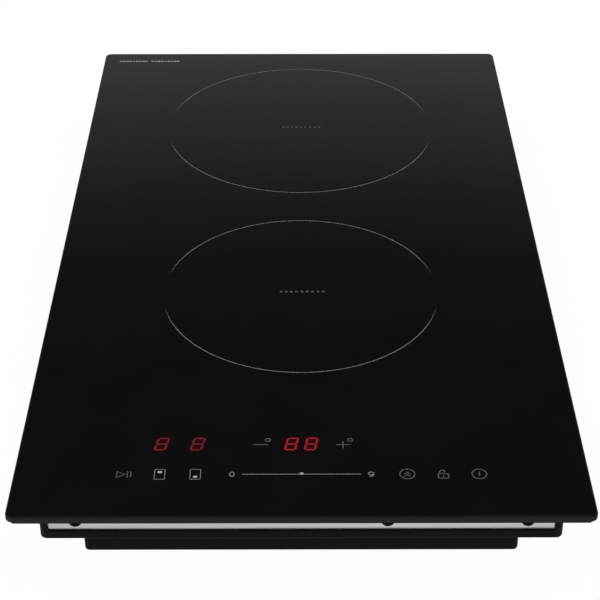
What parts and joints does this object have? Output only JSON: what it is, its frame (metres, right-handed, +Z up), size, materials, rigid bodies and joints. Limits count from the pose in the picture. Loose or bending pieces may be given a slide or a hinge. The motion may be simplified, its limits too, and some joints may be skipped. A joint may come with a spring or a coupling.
{
  "type": "induction hob",
  "caption": "Narrow built-in induction hob: black glass top with two zones and touch controls over a stepped steel case.",
  "frame": {"origin": "centre of the base, on the underside of the lower tray", "axes": "+Z up through the glass, -Y towards the user, +X to the user's right"},
  "size_m": [0.289, 0.52, 0.055],
  "materials": {
    "ceramic_glass": "polished",
    "seal_foam": "matte",
    "silicone": "satin",
    "bright_steel": "satin",
    "black_screw": "satin",
    "zinc_screw": "satin",
    "brass": "satin",
    "black_steel": "matte",
    "aluminium": "satin",
    "spring_steel": "satin",
    "black_plastic": "matte",
    "fan_plastic": "satin",
    "board_laminate": "satin",
    "white_nylon": "matte",
    "component_black": "matte",
    "film_capacitor": "gloss",
    "copper": "satin",
    "fuse_glass": "matte",
    "black_rubber": "matte",
    "display_plastic": "gloss",
    "pad_foam": "matte",
    "wire_cover": "satin",
    "clamp_steel": "satin",
    "coil_plastic": "matte",
    "ferrite": "matte",
    "mica": "matte"
  },
  "bodies": {
    "hob": {"board_connectors": "white_nylon", "board_screws": "zinc_screw", "board_standoffs": "white_nylon", "buzzer": "component_black", "cable_bush": "black_rubber", "cable_clamp": "black_plastic", "case_screws": "black_screw", "clamp_screws": "zinc_screw", "coil_deck": "aluminium", "control_board": "board_laminate", "control_carrier": "black_plastic", "fan_housing": "black_plastic", "fan_lead": "wire_cover", "fan_stator": "black_plastic", "filter_board": "board_laminate", "filter_choke": "copper", "foam_seal": "seal_foam", "frame_screws": "black_screw", "front_coil_leads": "wire_cover", "front_springs": "spring_steel", "fuse": "fuse_glass", "glass_adhesive": "silicone", "glass_top": "ceramic_glass", "heatsink": "aluminium", "link_capacitor": "film_capacitor", "lower_tray": "black_steel", "mains_wires": "wire_cover", "power_board": "board_laminate", "power_semiconductors": "component_black", "rear_coil_leads": "wire_cover", "rear_springs": "spring_steel", "resonance_capacitors": "film_capacitor", "ribbon_cable": "wire_cover", "support_frame": "bright_steel", "suppression_capacitors": "film_capacitor", "terminal_block": "white_nylon", "terminal_cover": "black_plastic", "terminal_screws": "brass", "timer_display": "display_plastic", "touch_pads": "pad_foam", "transformer": "component_black", "tray_screws": "zinc_screw", "upper_case": "black_steel", "zone_displays": "display_plastic"},
    "rear_coil": {"rear_coil_carrier": "coil_plastic", "rear_winding": "copper", "rear_ferrites": "ferrite", "rear_mica": "mica", "rear_sensor": "coil_plastic"},
    "front_coil": {"front_coil_carrier": "coil_plastic", "front_winding": "copper", "front_ferrites": "ferrite", "front_mica": "mica", "front_sensor": "coil_plastic"},
    "fan_wheel": {"fan_rotor": "fan_plastic"},
    "front_left_clamp": {"clamp_front_left": "clamp_steel"},
    "front_right_clamp": {"clamp_front_right": "clamp_steel"},
    "rear_left_clamp": {"clamp_rear_left": "clamp_steel"},
    "rear_right_clamp": {"clamp_rear_right": "clamp_steel"}
  },
  "joints": [
    {"name": "rear_coil_float", "type": "slide", "parent": "hob", "child": "rear_coil", "axis": [0, 0, 1], "range_m": [-0.0025, 0], "stiffness_N_per_m": 5000, "springref_m": 0.005, "deforming": ["rear_springs", "rear_coil_leads"]},
    {"name": "front_coil_float", "type": "slide", "parent": "hob", "child": "front_coil", "axis": [0, 0, 1], "range_m": [-0.0025, 0], "stiffness_N_per_m": 5000, "springref_m": 0.005, "deforming": ["front_springs", "front_coil_leads"]},
    {"name": "fan_spin", "type": "hinge", "parent": "hob", "child": "fan_wheel", "pos_m": [0.056, 0.12, 0.01], "axis": [0, 0, 1], "continuous": true},
    {"name": "front_left_clamp_swing", "type": "hinge", "parent": "hob", "child": "front_left_clamp", "pos_m": [-0.1241, -0.15, 0.0206], "axis": [0, 0, 1], "range_deg": [0, 90]},
    {"name": "front_right_clamp_swing", "type": "hinge", "parent": "hob", "child": "front_right_clamp", "pos_m": [0.1241, -0.15, 0.0206], "axis": [0, 0, 1], "range_deg": [0, 90]},
    {"name": "rear_left_clamp_swing", "type": "hinge", "parent": "hob", "child": "rear_left_clamp", "pos_m": [-0.1241, 0.15, 0.0206], "axis": [0, 0, 1], "range_deg": [0, 90]},
    {"name": "rear_right_clamp_swing", "type": "hinge", "parent": "hob", "child": "rear_right_clamp", "pos_m": [0.1241, 0.15, 0.0206], "axis": [0, 0, 1], "range_deg": [0, 90]}
  ]
}
